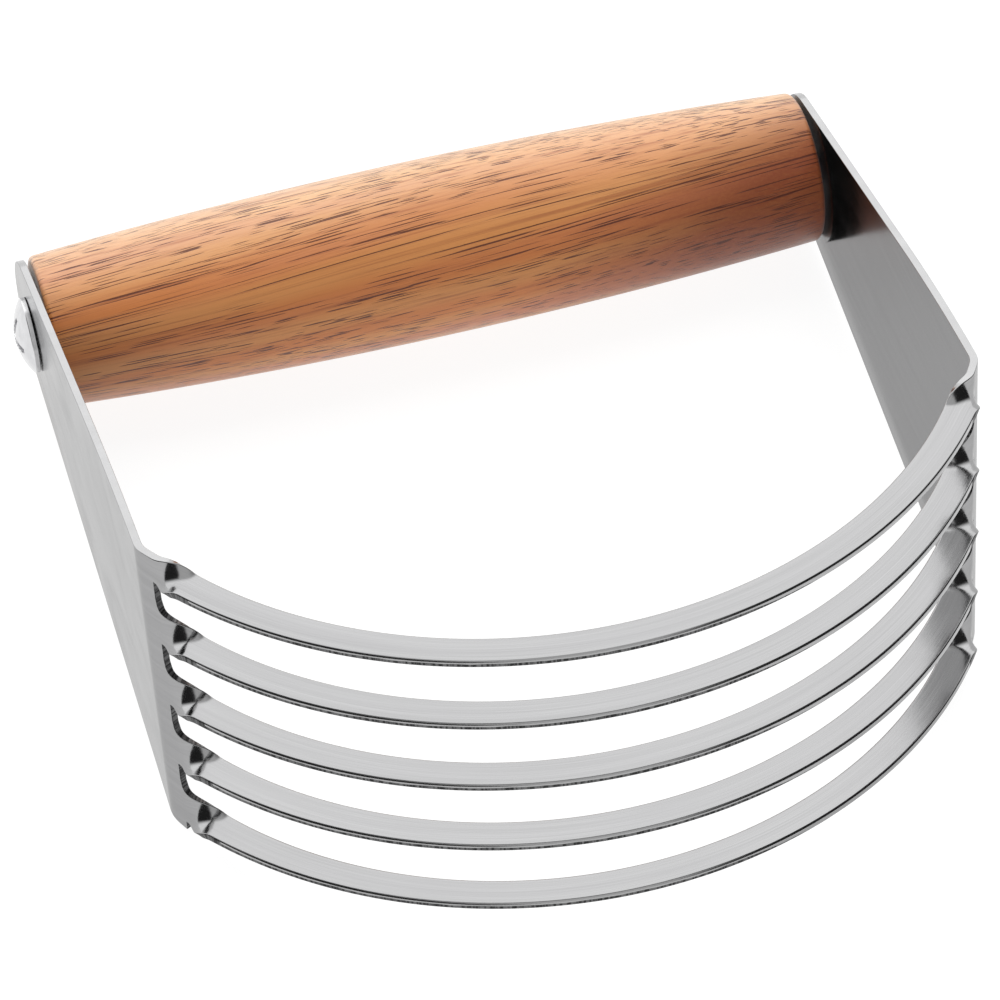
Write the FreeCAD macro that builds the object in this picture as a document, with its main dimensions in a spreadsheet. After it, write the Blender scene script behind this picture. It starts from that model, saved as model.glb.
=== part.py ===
import FreeCAD, Part
import math
import os
import re

import Sketcher
from FreeCAD import Placement, Rotation, Vector

# A pastry blender: one stamped stainless sheet (two arms joined by five curved blades) and a turned
# wooden handle that is held between the arms by a screw at each end.
#
# Every sub-part is drawn in the tool's own flat frame: X runs along the handle, the blades lie towards -Y
# and Z is across the blades. "Reach" is a distance from the handle's axis towards the blades.
# rest_placement then lays the whole tool down on its handle and the lower corners of its arms.

DIMENSIONS = {
    # handle
    "handle_length": 114.2,
    "handle_end_diameter": 22.0,
    "handle_middle_diameter": 25.9,
    "handle_edge_radius": 0.8,
    "pilot_diameter": 2.9,
    "pilot_depth": 26.0,
    # sheet
    "sheet_gauge": 1.1,
    "arm_spacing": 115.4,
    "arm_lean": 0.85,
    "arm_end_radius": 10.4,
    "arm_end_offset": 0.5,
    "arm_hole_diameter": 4.15,
    "shoulder_reach": 45.0,
    "shoulder_height": 20.0,
    "tab_reach": 78.6,
    "tab_height": 26.14,
    "tab_corner_radius": 1.0,
    "bend_radius": 4.0,
    # blades
    "blade_pitch": 11.2,
    "blade_width": 4.4,
    "blade_outer_radius": 67.0,
    "blade_reach": 111.6,
    "root_angle": 59.4,
    "root_length": 6.6,
    "root_fillet": 3.3,
    "twist_start": 0.2,
    "twist_end": 6.2,
    # screws
    "screw_head_diameter": 11.0,
    "screw_head_height": 2.5,
    "screw_rim_height": 0.7,
    "screw_head_clearance": 0.06,
    "screw_neck_diameter": 4.0,
    "screw_neck_length": 1.6,
    "screw_core_diameter": 2.8,
    "screw_length": 25.0,
    "screw_point_length": 3.0,
    "thread_crest_diameter": 4.0,
    "thread_start": 3.2,
    "thread_ridge_width": 0.9,
    "thread_pitch": 1.4,
    "thread_ridges": 12,
    "recess_length": 7.0,
    "recess_width": 1.1,
    "recess_depth": 1.9,
    "recess_taper": 12.0,
    # pose at rest
    "rest_tilt": 9.52,
}
BLADES = 5
ROOT_SECTIONS = 15
ROOT_CROWDING = 1.6
SHEET_NAME = "dims"

doc = FreeCAD.newDocument("pastry_blender")


def make_sheet():
    """The spreadsheet of driving dimensions, one named cell each."""
    sheet = doc.addObject("Spreadsheet::Sheet", SHEET_NAME)
    for row, (alias, value) in enumerate(DIMENSIONS.items(), start=1):
        sheet.set(f"A{row}", alias)
        sheet.set(f"B{row}", str(value))
        sheet.setAlias(f"B{row}", alias)
    doc.recompute()
    return sheet


sheet = make_sheet()


def cell(alias):
    """The value of one driving dimension, read from the sheet."""
    return float(sheet.get(alias))


def bound(text):
    """An expression written with bare cell names, turned into one that names the sheet."""
    def named(word):
        return f"{SHEET_NAME}.{word[0]}" if word[0] in DIMENSIONS else word[0]

    return re.sub(r"[a-z_]+", named, text)


def value_of(text):
    """The number that an expression of cell names comes to."""
    result = sheet.evalExpression(bound(text))
    return float(getattr(result, "Value", result))


def bind(target, path, text):
    target.setExpression(path, bound(text))


# Lengths worked out from the driving dimensions.
BLADE_CENTRE_REACH = "(blade_reach - blade_outer_radius)"
BLADE_MIDDLE_RADIUS = "(blade_outer_radius - blade_width / 2)"
STRIP_TOP = f"({(BLADES - 1) / 2} * blade_pitch + blade_width / 2)"
ROOT_SWEEP = f"(root_length / {BLADE_MIDDLE_RADIUS} * 180 / pi)"
ROOT_REACH = f"({BLADE_CENTRE_REACH} + {BLADE_MIDDLE_RADIUS} * cos(root_angle))"
# The blocks that the arm is cut from run a little past it: up and down, towards the screw, towards the
# blades, and through its thickness.
SHEET_SPAN = 30.0
ARM_TOP = 14.0
OUTLINE_END = 84.0
THROUGH = 14.0
# How far a screw's thread ridges reach into its core, so that they join it.
RIDGE_OVERLAP = 0.1
# An edge that runs less than this along the handle is one of its rims.
RIM_RUN = 0.01


def new_body(name):
    body = doc.addObject("PartDesign::Body", name)
    body.Label = name
    return body


def sketch_on(body, role, name):
    """A sketch lying on one of the body's own origin planes."""
    sketch = body.newObject("Sketcher::SketchObject", name)
    plane = next(item for item in body.Origin.OriginFeatures if item.Role == role)
    sketch.AttachmentSupport = (plane, [""])
    sketch.MapMode = "FlatFace"
    return sketch


def pin(sketch, geometry, point, across=None, up=None):
    """Fix one point's distances from the sketch's origin to expressions."""
    for kind, text in (("DistanceX", across), ("DistanceY", up)):
        if text is None:
            continue
        index = sketch.addConstraint(
            Sketcher.Constraint(kind, -1, 1, geometry, point, value_of(text)))
        bind(sketch, f"Constraints[{index}]", text)


def size(sketch, kind, geometry, text):
    """Fix a radius, a diameter or an edge's angle to an expression."""
    start = value_of(text)
    if kind == "Angle":
        start = math.radians(start)
    index = sketch.addConstraint(Sketcher.Constraint(kind, geometry, start))
    bind(sketch, f"Constraints[{index}]", text)


def joined(sketch, kind, first, first_point, second, second_point):
    sketch.addConstraint(Sketcher.Constraint(kind, first, first_point, second, second_point))


def arc_about(centre, start, end):
    """The arc about a centre that runs counter-clockwise from start to end."""
    first = math.atan2(start.y - centre.y, start.x - centre.x)
    last = math.atan2(end.y - centre.y, end.x - centre.x)
    if last < first:
        last += 2 * math.pi
    circle = Part.Circle(centre, Vector(0, 0, 1), (start - centre).Length)
    return Part.ArcOfCircle(circle, first, last)


def arc_between(start, end, radius, left):
    """A short arc from start to end. left says which side of the way along it its centre is on."""
    chord = end - start
    half = chord.Length / 2
    side = Vector(-chord.y, chord.x, 0).normalize()
    rise = math.sqrt(max(radius ** 2 - half ** 2, 0.0))
    centre = (start + end) * 0.5 + side * (rise if left else -rise)
    if left:
        return arc_about(centre, start, end)
    return arc_about(centre, end, start)


def closed_outline(sketch, corners):
    """A closed outline. Each corner is (x, y, radius of the edge that follows or None, centre on the left).

    Every corner is pinned to its two expressions, and every curved edge to its radius.
    """
    points = [Vector(value_of(x), value_of(y), 0) for x, y, _, _ in corners]
    for index, (x, y, radius, left) in enumerate(corners):
        start = points[index]
        end = points[(index + 1) % len(points)]
        if radius is None:
            edge = sketch.addGeometry(Part.LineSegment(start, end))
            first_point = 1
        else:
            edge = sketch.addGeometry(arc_between(start, end, value_of(radius), left))
            first_point = 1 if left else 2
            size(sketch, "Radius", edge, radius)
        pin(sketch, edge, first_point, x, y)
    for index, (_, _, radius, left) in enumerate(corners):
        following = (index + 1) % len(corners)
        last_point = 2 if (radius is None or left) else 1
        next_radius, next_left = corners[following][2:]
        next_first = 1 if (next_radius is None or next_left) else 2
        joined(sketch, "Coincident", index, last_point, following, next_first)


def padded(body, sketch, text, midplane=False):
    pad = body.newObject("PartDesign::Pad", sketch.Name + "_pad")
    pad.Profile = sketch
    pad.Midplane = midplane
    bind(pad, "Length", text)
    body.Tip = pad
    return pad


def revolved(body, sketch, name):
    revolution = body.newObject("PartDesign::Revolution", name)
    revolution.Profile = sketch
    revolution.ReferenceAxis = (sketch, ["V_Axis"])
    revolution.Angle = 360.0
    body.Tip = revolution
    return revolution


# ---------------------------------------------------------------- the sheet: arms, roots and blades

def make_arm_section():
    """The right arm seen along Z: flat, bent inwards near its end, then on the blades' own circle."""
    body = new_body("arm_section")
    sketch = sketch_on(body, "XY_Plane", "arm_section_sketch")
    lean = math.radians(cell("arm_lean"))
    gauge = cell("sheet_gauge")
    bend = cell("bend_radius")
    centre_reach = value_of(BLADE_CENTRE_REACH)
    middle = value_of(BLADE_MIDDLE_RADIUS)
    inner_radius = middle - gauge / 2
    end_angle = math.radians(cell("root_angle"))
    # Starting places only: the constraints below are what place the bend.
    normal = Vector(math.cos(lean), -math.sin(lean), 0)
    along = Vector(-math.sin(lean), -math.cos(lean), 0)
    blade_centre = Vector(0, -centre_reach, 0)
    offset = cell("arm_spacing") / 2 * math.cos(lean) - bend
    aside = offset - blade_centre.dot(normal)
    run = blade_centre.dot(along) + math.sqrt((inner_radius - bend) ** 2 - aside ** 2)
    bend_centre = normal * offset + along * run
    outward = (bend_centre - blade_centre).normalize()

    def face(distance):
        """The four points of one face of the sheet, at a distance out from its inner face."""
        level = normal * (offset + bend + distance)
        top = level + along * ((ARM_TOP - level.y) / along.y)
        bend_start = bend_centre + normal * (bend + distance)
        bend_end = bend_centre + outward * (bend + distance)
        radial = Vector(math.sin(end_angle), -math.cos(end_angle), 0)
        tip = blade_centre + radial * (inner_radius + distance)
        return top, bend_start, bend_end, tip

    inner = face(0.0)
    outer = face(gauge)
    edges = (
        Part.LineSegment(inner[0], inner[1]),
        arc_about(bend_centre, inner[2], inner[1]),
        arc_about(blade_centre, inner[3], inner[2]),
        Part.LineSegment(inner[3], outer[3]),
        arc_about(blade_centre, outer[3], outer[2]),
        arc_about(bend_centre, outer[2], outer[1]),
        Part.LineSegment(outer[1], outer[0]),
        Part.LineSegment(outer[0], inner[0]),
    )
    (inner_line, inner_bend, inner_arc, tip, outer_arc, outer_bend, outer_line, top) = [
        sketch.addGeometry(edge) for edge in edges]
    # An arc's point 1 is where it starts counter-clockwise, so here it is the end nearer the blades.
    joined(sketch, "Tangent", inner_line, 2, inner_bend, 2)
    joined(sketch, "Tangent", inner_bend, 1, inner_arc, 2)
    joined(sketch, "Coincident", inner_arc, 1, tip, 1)
    joined(sketch, "Coincident", tip, 2, outer_arc, 1)
    joined(sketch, "Tangent", outer_arc, 2, outer_bend, 1)
    joined(sketch, "Tangent", outer_bend, 2, outer_line, 1)
    joined(sketch, "Coincident", outer_line, 2, top, 1)
    joined(sketch, "Coincident", top, 2, inner_line, 1)
    joined(sketch, "Coincident", inner_bend, 3, outer_bend, 3)
    joined(sketch, "Coincident", inner_arc, 3, outer_arc, 3)
    sketch.addConstraint(Sketcher.Constraint("Horizontal", top))
    sketch.addConstraint(Sketcher.Constraint("PointOnObject", inner_arc, 3, -2))
    pin(sketch, inner_arc, 3, up=f"-{BLADE_CENTRE_REACH}")
    size(sketch, "Radius", inner_arc, f"{BLADE_MIDDLE_RADIUS} - sheet_gauge / 2")
    size(sketch, "Radius", outer_arc, f"{BLADE_MIDDLE_RADIUS} + sheet_gauge / 2")
    size(sketch, "Radius", inner_bend, "bend_radius")
    pin(sketch, inner_line, 1, across=f"arm_spacing / 2 + {ARM_TOP} * tan(arm_lean)", up=f"{ARM_TOP}")
    sketch.addConstraint(Sketcher.Constraint("Parallel", inner_line, outer_line))
    size(sketch, "Angle", inner_line, "(-90 - arm_lean) * 1 deg")
    tip_reach = f"({BLADE_CENTRE_REACH} + ({BLADE_MIDDLE_RADIUS} + SIDE) * cos(root_angle))"
    pin(sketch, tip, 1, up="-" + tip_reach.replace("SIDE", "-sheet_gauge / 2"))
    pin(sketch, tip, 2, up="-" + tip_reach.replace("SIDE", "sheet_gauge / 2"))
    padded(body, sketch, f"{2 * SHEET_SPAN}", midplane=True)
    return body


def make_arm_outline():
    """The arm seen along X, as a thick block: rounded at the screw and flaring towards the blades."""
    body = new_body("arm_outline")
    sketch = sketch_on(body, "YZ_Plane", "arm_outline_sketch")
    end_radius = cell("arm_end_radius")
    end_centre = Vector(cell("arm_end_offset"), 0, 0)
    shoulder = Vector(-cell("shoulder_reach"), cell("shoulder_height"), 0)
    upper_end = Vector(-value_of(ROOT_REACH), value_of(STRIP_TOP), 0)
    corner = cell("tab_corner_radius")
    block_top = Vector(-OUTLINE_END, upper_end.y, 0)
    block_bottom = Vector(-OUTLINE_END, -cell("tab_height") + corner, 0)
    tab_end = Vector(-cell("tab_reach"), block_bottom.y, 0)
    tab_turn = Vector(tab_end.x + corner, -cell("tab_height"), 0)

    def touching(point, side):
        """Where the straight edge from a point meets the round end."""
        reach = point - end_centre
        swing = math.acos(end_radius / reach.Length)
        turn = math.atan2(reach.y, reach.x) - side * swing
        return end_centre + Vector(math.cos(turn), math.sin(turn), 0) * end_radius

    upper_touch = touching(shoulder, 1)
    lower_touch = touching(tab_turn, -1)
    # The arc that leaves the shoulder along the straight edge and meets the topmost strip.
    heading = (shoulder - upper_touch).normalize()
    chord = upper_end - shoulder
    shoulder_radius = chord.dot(chord) / (2 * chord.dot(Vector(-heading.y, heading.x, 0)))
    edges = (
        arc_about(end_centre, lower_touch, upper_touch),
        Part.LineSegment(upper_touch, shoulder),
        arc_between(shoulder, upper_end, shoulder_radius, True),
        Part.LineSegment(upper_end, block_top),
        Part.LineSegment(block_top, block_bottom),
        Part.LineSegment(block_bottom, tab_end),
        arc_between(tab_end, tab_turn, corner, True),
        Part.LineSegment(tab_turn, lower_touch),
    )
    (end, upper, shoulder_arc, over, across, under, tab_arc, lower) = [
        sketch.addGeometry(edge) for edge in edges]
    joined(sketch, "Tangent", end, 2, upper, 1)
    joined(sketch, "Tangent", upper, 2, shoulder_arc, 1)
    joined(sketch, "Coincident", shoulder_arc, 2, over, 1)
    joined(sketch, "Coincident", over, 2, across, 1)
    joined(sketch, "Coincident", across, 2, under, 1)
    joined(sketch, "Coincident", under, 2, tab_arc, 1)
    joined(sketch, "Coincident", tab_arc, 2, lower, 1)
    joined(sketch, "Tangent", lower, 2, end, 1)
    sketch.addConstraint(Sketcher.Constraint("PointOnObject", end, 3, -1))
    pin(sketch, end, 3, across="arm_end_offset")
    size(sketch, "Radius", end, "arm_end_radius")
    pin(sketch, upper, 2, "-shoulder_reach", "shoulder_height")
    pin(sketch, over, 1, f"-{ROOT_REACH}", STRIP_TOP)
    pin(sketch, across, 1, f"-{OUTLINE_END}", STRIP_TOP)
    pin(sketch, across, 2, f"-{OUTLINE_END}", "-tab_height + tab_corner_radius")
    pin(sketch, under, 2, "-tab_reach", "-tab_height + tab_corner_radius")
    pin(sketch, lower, 1, "-tab_reach + tab_corner_radius", "-tab_height")
    size(sketch, "Radius", tab_arc, "tab_corner_radius")
    hole_circle = Part.Circle(Vector(0, 0, 0), Vector(0, 0, 1), cell("arm_hole_diameter") / 2)
    hole = sketch.addGeometry(hole_circle)
    joined(sketch, "Coincident", hole, 3, -1, 1)
    size(sketch, "Diameter", hole, "arm_hole_diameter")
    padded(body, sketch, f"{THROUGH}")
    bind(body, "Placement.Base.x", f"arm_spacing / 2 - {THROUGH} / 2")
    return body


def make_blades():
    """The five curved blades, each standing on edge, without their twisted ends."""
    body = new_body("blade_arcs")
    sketch = sketch_on(body, "YZ_Plane", "blade_sketch")
    outer = "-blade_outer_radius"
    inner = "(-blade_outer_radius + blade_width)"
    low = f"({BLADES - 1} / 2 * blade_pitch - sheet_gauge / 2)"
    high = f"({BLADES - 1} / 2 * blade_pitch + sheet_gauge / 2)"
    closed_outline(sketch, (
        (outer, low, None, False),
        (inner, low, None, False),
        (inner, high, None, False),
        (outer, high, None, False),
    ))
    blade = revolved(body, sketch, "blade")
    blade.Midplane = True
    bind(blade, "Angle", f"2 * (root_angle - {ROOT_SWEEP})")
    doc.recompute()
    blades = body.newObject("PartDesign::LinearPattern", "blades")
    blades.Originals = [blade]
    blades.Direction = (sketch, ["V_Axis"])
    blades.Reversed = True
    blades.Occurrences = BLADES
    bind(blades, "Length", f"{BLADES - 1} * blade_pitch")
    body.Tip = blades
    bind(body, "Placement.Base.y", f"-{BLADE_CENTRE_REACH}")
    return body


def make_roots():
    """The right ends of the blades: each strip leaves the arm flat and turns a quarter turn.

    They are lofted through sections along the blades' circle. A strip's upper edge turns to the inside.
    On all but the topmost strip that edge also widens towards the arm, as the rounded corner of the slot
    above it.
    """
    middle = value_of(BLADE_MIDDLE_RADIUS)
    centre = Vector(0, -value_of(BLADE_CENTRE_REACH), 0)
    fillet = cell("root_fillet")
    half_width = cell("blade_width") / 2
    half_gauge = cell("sheet_gauge") / 2
    up = Vector(0, 0, 1)

    def section(along, height, flared):
        angle = math.radians(cell("root_angle")) - along / middle
        share = (along - cell("twist_start")) / (cell("twist_end") - cell("twist_start"))
        share = min(max(share, 0.0), 1.0)
        turn = math.pi / 2 * share * share * (3 - 2 * share)
        radial = Vector(math.sin(angle), -math.cos(angle), 0)
        across = up * math.cos(turn) - radial * math.sin(turn)
        through = radial * math.cos(turn) + up * math.sin(turn)
        flare = 0.0
        if flared and along < fillet:
            flare = fillet - math.sqrt(fillet ** 2 - (fillet - along) ** 2)
        place = centre + radial * middle + up * height
        corners = [place + across * width + through * depth
                   for width, depth in ((half_width + flare, half_gauge), (half_width + flare, -half_gauge),
                                        (-half_width, -half_gauge), (-half_width, half_gauge))]
        return Part.makePolygon(corners + corners[:1])

    roots = []
    for blade in range(BLADES):
        height = (blade - (BLADES - 1) / 2) * cell("blade_pitch")
        steps = [cell("root_length") * (step / (ROOT_SECTIONS - 1)) ** ROOT_CROWDING
                 for step in range(ROOT_SECTIONS)]
        sections = [section(along, height, blade < BLADES - 1) for along in steps]
        roots.append(Part.makeLoft(sections, True, True))
    feature = doc.addObject("Part::Feature", "right_roots")
    feature.Shape = Part.makeCompound(roots)
    return feature


def mirrored(source):
    """The same shape on the left side."""
    mirror = doc.addObject("Part::Mirroring", "left_" + source.Name)
    mirror.Source = source
    mirror.Base = Vector(0, 0, 0)
    mirror.Normal = Vector(1, 0, 0)
    return mirror


def make_blade_frame():
    arm = doc.addObject("Part::Common", "arm")
    arm.Base = make_arm_section()
    arm.Tool = make_arm_outline()
    doc.recompute()
    roots = make_roots()
    blades = make_blades()
    frame = doc.addObject("Part::MultiFuse", "blade_frame")
    frame.Shapes = [arm, roots, blades, mirrored(arm), mirrored(roots)]
    frame.Refine = True
    return frame


# ---------------------------------------------------------------- the handle and its screws

def make_handle():
    """A barrel-shaped handle with rounded ends and a blind pilot hole in each end."""
    body = new_body("handle")
    sketch = sketch_on(body, "XY_Plane", "handle_sketch")
    half_length = "(handle_length / 2)"
    end_radius = "(handle_end_diameter / 2)"
    rise = f"(handle_middle_diameter / 2 - {end_radius})"
    barrel_radius = f"(({half_length} * {half_length} + {rise} * {rise}) / (2 * {rise}))"
    closed_outline(sketch, (
        (f"-{half_length}", "0", None, False),
        (half_length, "0", None, False),
        (half_length, end_radius, barrel_radius, True),
        (f"-{half_length}", end_radius, None, False),
    ))
    barrel = body.newObject("PartDesign::Revolution", "barrel")
    barrel.Profile = sketch
    barrel.ReferenceAxis = (sketch, ["H_Axis"])
    barrel.Angle = 360.0
    body.Tip = barrel
    doc.recompute()
    rims = [f"Edge{number}" for number, edge in enumerate(barrel.Shape.Edges, start=1)
            if isinstance(edge.Curve, Part.Circle) and edge.BoundBox.XLength < RIM_RUN]
    rounding = body.newObject("PartDesign::Fillet", "rounded_ends")
    rounding.Base = (barrel, rims)
    bind(rounding, "Radius", "handle_edge_radius")
    body.Tip = rounding
    hole_sketch = sketch_on(body, "YZ_Plane", "pilot_sketch")
    pilot_circle = Part.Circle(Vector(0, 0, 0), Vector(0, 0, 1), cell("pilot_diameter") / 2)
    circle = hole_sketch.addGeometry(pilot_circle)
    joined(hole_sketch, "Coincident", circle, 3, -1, 1)
    size(hole_sketch, "Diameter", circle, "pilot_diameter")
    bind(hole_sketch, "AttachmentOffset.Base.z", half_length)
    pilot = body.newObject("PartDesign::Pocket", "pilot")
    pilot.Profile = hole_sketch
    bind(pilot, "Length", "pilot_depth")
    body.Tip = pilot
    doc.recompute()
    pilots = body.newObject("PartDesign::Mirrored", "pilots")
    pilots.Originals = [pilot]
    plane = next(item for item in body.Origin.OriginFeatures if item.Role == "YZ_Plane")
    pilots.MirrorPlane = (plane, [""])
    body.Tip = pilots
    return body


def make_screw(name):
    """A tapping screw, its axis up and the underside of its domed head at Z = 0."""
    body = new_body(name)
    sketch = sketch_on(body, "XZ_Plane", name + "_profile")
    head = "(screw_head_diameter / 2)"
    neck = "(screw_neck_diameter / 2)"
    core = "(screw_core_diameter / 2)"
    rise = "(screw_head_height - screw_rim_height)"
    dome = f"(({head} * {head} + {rise} * {rise}) / (2 * {rise}))"
    closed_outline(sketch, (
        ("0", "-screw_length", None, False),
        (core, "-screw_length + screw_point_length", None, False),
        (core, f"-screw_neck_length - {neck} + {core}", None, False),
        (neck, "-screw_neck_length", None, False),
        (neck, "0", None, False),
        (head, "0", None, False),
        (head, "screw_rim_height", dome, True),
        ("0", "screw_head_height", None, False),
    ))
    revolved(body, sketch, name + "_turned")
    ridge_sketch = sketch_on(body, "XZ_Plane", name + "_ridge_profile")
    root = f"(screw_core_diameter / 2 - {RIDGE_OVERLAP})"
    closed_outline(ridge_sketch, (
        (root, "-thread_start", None, False),
        (root, "-thread_start - thread_ridge_width", None, False),
        ("thread_crest_diameter / 2", "-thread_start - thread_ridge_width / 2", None, False),
    ))
    ridge = revolved(body, ridge_sketch, name + "_ridge")
    doc.recompute()
    thread = body.newObject("PartDesign::LinearPattern", name + "_thread")
    thread.Originals = [ridge]
    thread.Direction = (ridge_sketch, ["V_Axis"])
    thread.Reversed = True
    thread.Occurrences = int(cell("thread_ridges"))
    bind(thread, "Length", "(thread_ridges - 1) * thread_pitch")
    body.Tip = thread
    cross = sketch_on(body, "XY_Plane", name + "_recess_sketch")
    bind(cross, "AttachmentOffset.Base.z", "screw_head_height")
    long = "(recess_length / 2)"
    wide = "(recess_width / 2)"
    corners = []
    for x_axis, y_axis in ((1, 0), (0, 1), (-1, 0), (0, -1)):
        for ahead, aside in ((long, f"-{wide}"), (long, wide), (wide, wide)):
            x = f"({x_axis} * {ahead} - {y_axis} * {aside})"
            y = f"({y_axis} * {ahead} + {x_axis} * {aside})"
            corners.append((x, y, None, False))
    closed_outline(cross, corners)
    recess = body.newObject("PartDesign::Pocket", name + "_recess")
    recess.Profile = cross
    bind(recess, "Length", "recess_depth")
    bind(recess, "TaperAngle", "-recess_taper")
    body.Tip = recess
    return body


# ---------------------------------------------------------------- the tool at rest

# The underside of a screw's head stands just clear of the highest point of the leaning arm under it.
SCREW_SEAT = ("(arm_spacing / 2 + sheet_gauge / cos(arm_lean)"
              " + screw_head_diameter / 2 * tan(arm_lean) + screw_head_clearance)")
REST_HEIGHT = "(handle_middle_diameter / 2)"
# Half way between the handle's far side and the outermost blade's edge.
REST_SHIFT = (f"((blade_reach * cos(rest_tilt)"
              f" + ({(BLADES - 1) / 2} * blade_pitch + sheet_gauge / 2) * sin(rest_tilt)"
              f" - handle_middle_diameter / 2) / 2)")


def lay_down(part, turn=None, seat=None):
    """Place a sub-part, drawn in the flat frame, in the tool's pose at rest.

    turn and seat say first where in the flat frame a part goes that is drawn about its own axis.
    """
    tilt = Rotation(Vector(1, 0, 0), -cell("rest_tilt"))
    offset = Vector(0, value_of(REST_SHIFT), value_of(REST_HEIGHT))
    place = Placement(offset, tilt)
    if turn is not None:
        place = place.multiply(Placement(Vector(seat, 0, 0), turn))
    part.Placement = place


blade_frame = make_blade_frame()
handle = make_handle()
left_screw = make_screw("left_screw")
right_screw = make_screw("right_screw")
doc.recompute()
seat = value_of(SCREW_SEAT)
lay_down(blade_frame)
lay_down(handle)
lay_down(left_screw, Rotation(Vector(0, 1, 0), -90), -seat)
lay_down(right_screw, Rotation(Vector(0, 1, 0), 90), seat)
doc.recompute()

SUB_PARTS = (blade_frame, handle, left_screw, right_screw)
for item in doc.Objects:
    if "Invalid" in item.State or "Error" in item.State:
        raise RuntimeError(f"{item.Label} failed: {item.State}")
os.makedirs("parts", exist_ok=True)
for part in SUB_PARTS:
    if part.Shape.isNull() or not part.Shape.isValid():
        raise RuntimeError(f"{part.Label} has no valid shape")
    part.Shape.exportStep(f"parts/{part.Label}.step")
    box = part.Shape.BoundBox
    print(f"{part.Label}: {len(part.Shape.Solids)} solid, {part.Shape.Volume:.1f} mm3,"
          f" x {box.XMin:.2f}..{box.XMax:.2f}, y {box.YMin:.2f}..{box.YMax:.2f},"
          f" z {box.ZMin:.3f}..{box.ZMax:.2f}")
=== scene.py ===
import math

import bmesh
import bpy
from mathutils import Matrix, Vector


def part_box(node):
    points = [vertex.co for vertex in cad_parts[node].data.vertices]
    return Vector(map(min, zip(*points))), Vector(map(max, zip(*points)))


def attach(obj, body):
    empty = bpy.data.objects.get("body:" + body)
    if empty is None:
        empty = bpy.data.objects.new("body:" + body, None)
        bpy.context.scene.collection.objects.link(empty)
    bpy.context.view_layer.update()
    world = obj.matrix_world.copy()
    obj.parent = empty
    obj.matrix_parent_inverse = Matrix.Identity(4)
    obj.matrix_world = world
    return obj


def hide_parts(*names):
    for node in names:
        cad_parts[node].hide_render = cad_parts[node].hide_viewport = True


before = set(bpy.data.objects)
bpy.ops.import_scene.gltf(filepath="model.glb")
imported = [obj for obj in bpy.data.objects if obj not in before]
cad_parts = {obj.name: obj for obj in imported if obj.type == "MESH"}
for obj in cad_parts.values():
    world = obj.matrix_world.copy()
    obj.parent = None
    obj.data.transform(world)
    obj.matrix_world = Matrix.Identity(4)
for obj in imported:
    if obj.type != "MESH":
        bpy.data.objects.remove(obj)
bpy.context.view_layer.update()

# A pastry blender lying on its handle and the lower corners of its arms. Every piece is drawn in the
# tool's own flat frame, in millimetres: X along the handle, the blades towards -Y, Z across the blades.
# "Reach" is a distance from the handle's axis towards the blades.
MM = 0.001

# ---------------------------------------------------------------- sizes, in millimetres and degrees

REST_TILT = 9.52
SHEET_GAUGE = 1.1
BLADE_EDGE_ROUNDING = 0.34
ARM_EDGE_ROUNDING = 0.13
ARM_SPACING = 115.4
ARM_LEAN = 0.85
ARM_END_RADIUS = 10.4
ARM_END_OFFSET = 0.5
ARM_HOLE_RADIUS = 2.075
SHOULDER = (45.0, 20.0)
# The tab's lower corner is a little short, because the sheet's inner face reaches lower than its middle.
TAB = (78.6, 26.11)
TAB_CORNER_RADIUS = 1.0
BEND_RADIUS = 4.0
BLADES = 5
BLADE_PITCH = 11.2
BLADE_WIDTH = 4.4
BLADE_OUTER_RADIUS = 67.0
BLADE_REACH = 111.6
ROOT_ANGLE = 59.4
ROOT_LENGTH = 6.6
ROOT_FILLET = 3.3
TWIST_START = 0.2
TWIST_END = 6.2
HANDLE_END_RADIUS = 11.0
HANDLE_EDGE_RADIUS = 0.8
PILOT_RADIUS = 1.45
PILOT_DEPTH = 26.0
SCREW_HEAD_RADIUS = 5.5
SCREW_HEAD_HEIGHT = 2.5
SCREW_RIM_HEIGHT = 0.7
SCREW_NECK_RADIUS = 2.0
SCREW_NECK_LENGTH = 1.6
SCREW_CORE_RADIUS = 1.4
SCREW_LENGTH = 25.0
SCREW_POINT_LENGTH = 3.0
THREAD_CREST = 0.6
THREAD_START = 3.0
THREAD_END = 20.8
THREAD_PITCH = 1.4
THREAD_HALF_WIDTH = 0.32
RECESS_LENGTH = 7.0
RECESS_WIDTH = 1.1
RECESS_DEPTH = 1.9
RECESS_TAPER = 12.0
SCREW_EDGE_ROUNDING = 0.07
SHARP_ANGLE = 38.0
WELD_DISTANCE = 0.001

ARM_LEAN_ANGLE = 90.0 - ARM_LEAN
BLADE_MIDDLE_RADIUS = BLADE_OUTER_RADIUS - BLADE_WIDTH / 2
BLADE_CENTRE_REACH = BLADE_REACH - BLADE_OUTER_RADIUS
HALF_WIDTH = BLADE_WIDTH / 2
STRIP_TOP = (BLADES - 1) / 2 * BLADE_PITCH + HALF_WIDTH
# Where the strips' roots end and the plain blades start, from the middle of the sheet.
ROOT_START = math.radians(ROOT_ANGLE) * BLADE_MIDDLE_RADIUS - ROOT_LENGTH

# The handle's axis and its middle come from the frame.
handle_low, handle_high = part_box("handle")
AXIS_PLACE = (handle_low + handle_high) / 2
HANDLE_HALF_LENGTH = (handle_high.x - handle_low.x) / 2 / MM
HANDLE_MIDDLE_RADIUS = (handle_high.z - handle_low.z) / 2 / MM
LAID_DOWN = Matrix.Translation(AXIS_PLACE) @ Matrix.Rotation(math.radians(-REST_TILT), 4, "X")

# ---------------------------------------------------------------- looks, camera and studio

# The wood's pattern is looked up on a cylinder of this radius.
PATTERN_RADIUS = 12.5

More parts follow.
